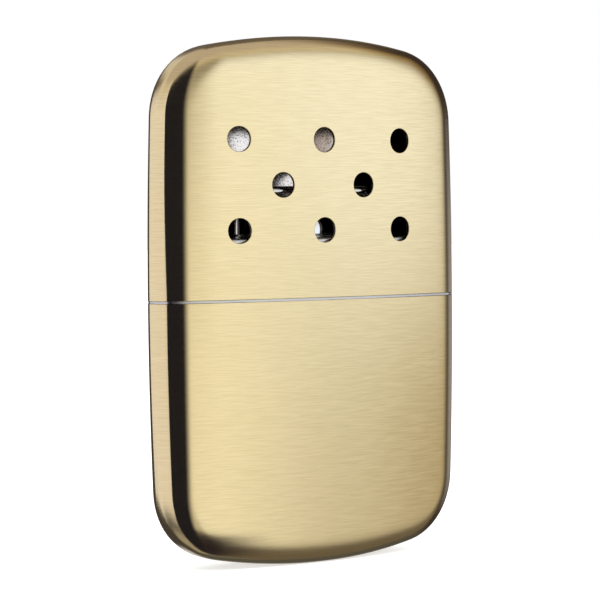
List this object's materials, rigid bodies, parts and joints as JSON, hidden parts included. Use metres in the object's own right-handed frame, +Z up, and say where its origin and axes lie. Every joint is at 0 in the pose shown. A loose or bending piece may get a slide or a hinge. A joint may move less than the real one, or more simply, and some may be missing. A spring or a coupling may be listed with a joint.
{
  "type": "catalytic hand warmer",
  "caption": "Slim pocket hand warmer in brushed gold sheet metal: cotton-packed fuel tank, clip-on catalytic burner and a vented lid that pulls off its collar.",
  "frame": {"origin": "centre of the flat pressed into the base, which the warmer stands on", "axes": "+Z up from the foot to the crown, X across the broad faces, Y from the front face to the rear one"},
  "size_m": [0.067, 0.0142, 0.1],
  "materials": {
    "gold_shell": "fine horizontal brushing under a clear gold finish",
    "plated_steel": "satin nickel plate",
    "polished_steel": "polished",
    "burner_steel": "plain stainless",
    "wire_gauze": "woven wire",
    "catalyst": "grey glass-fibre wool carrying the catalyst",
    "cotton": "loose cotton wadding",
    "wick_felt": "dense felt"
  },
  "bodies": {
    "tank": {"lower_case": "gold_shell", "tank_collar": "plated_steel", "tank_top": "plated_steel", "filler_neck": "plated_steel", "cotton_wad_1": "cotton", "cotton_wad_2": "cotton", "collar_wad": "cotton", "wick": "wick_felt"},
    "lid": {"lid_shell": "gold_shell"},
    "burner": {"burner_skirt": "burner_steel", "burner_floor": "burner_steel", "lower_gauze": "wire_gauze", "catalyst_pad": "catalyst", "upper_gauze": "wire_gauze", "burner_grille": "burner_steel", "burner_housing": "polished_steel"}
  },
  "joints": [
    {"name": "lid_lift", "type": "slide", "parent": "tank", "child": "lid", "axis": [0, 0, 1], "range_m": [0, 0.06]},
    {"name": "burner_lift", "type": "slide", "parent": "tank", "child": "burner", "axis": [0, 0, 1], "range_m": [0, 0.023]}
  ]
}
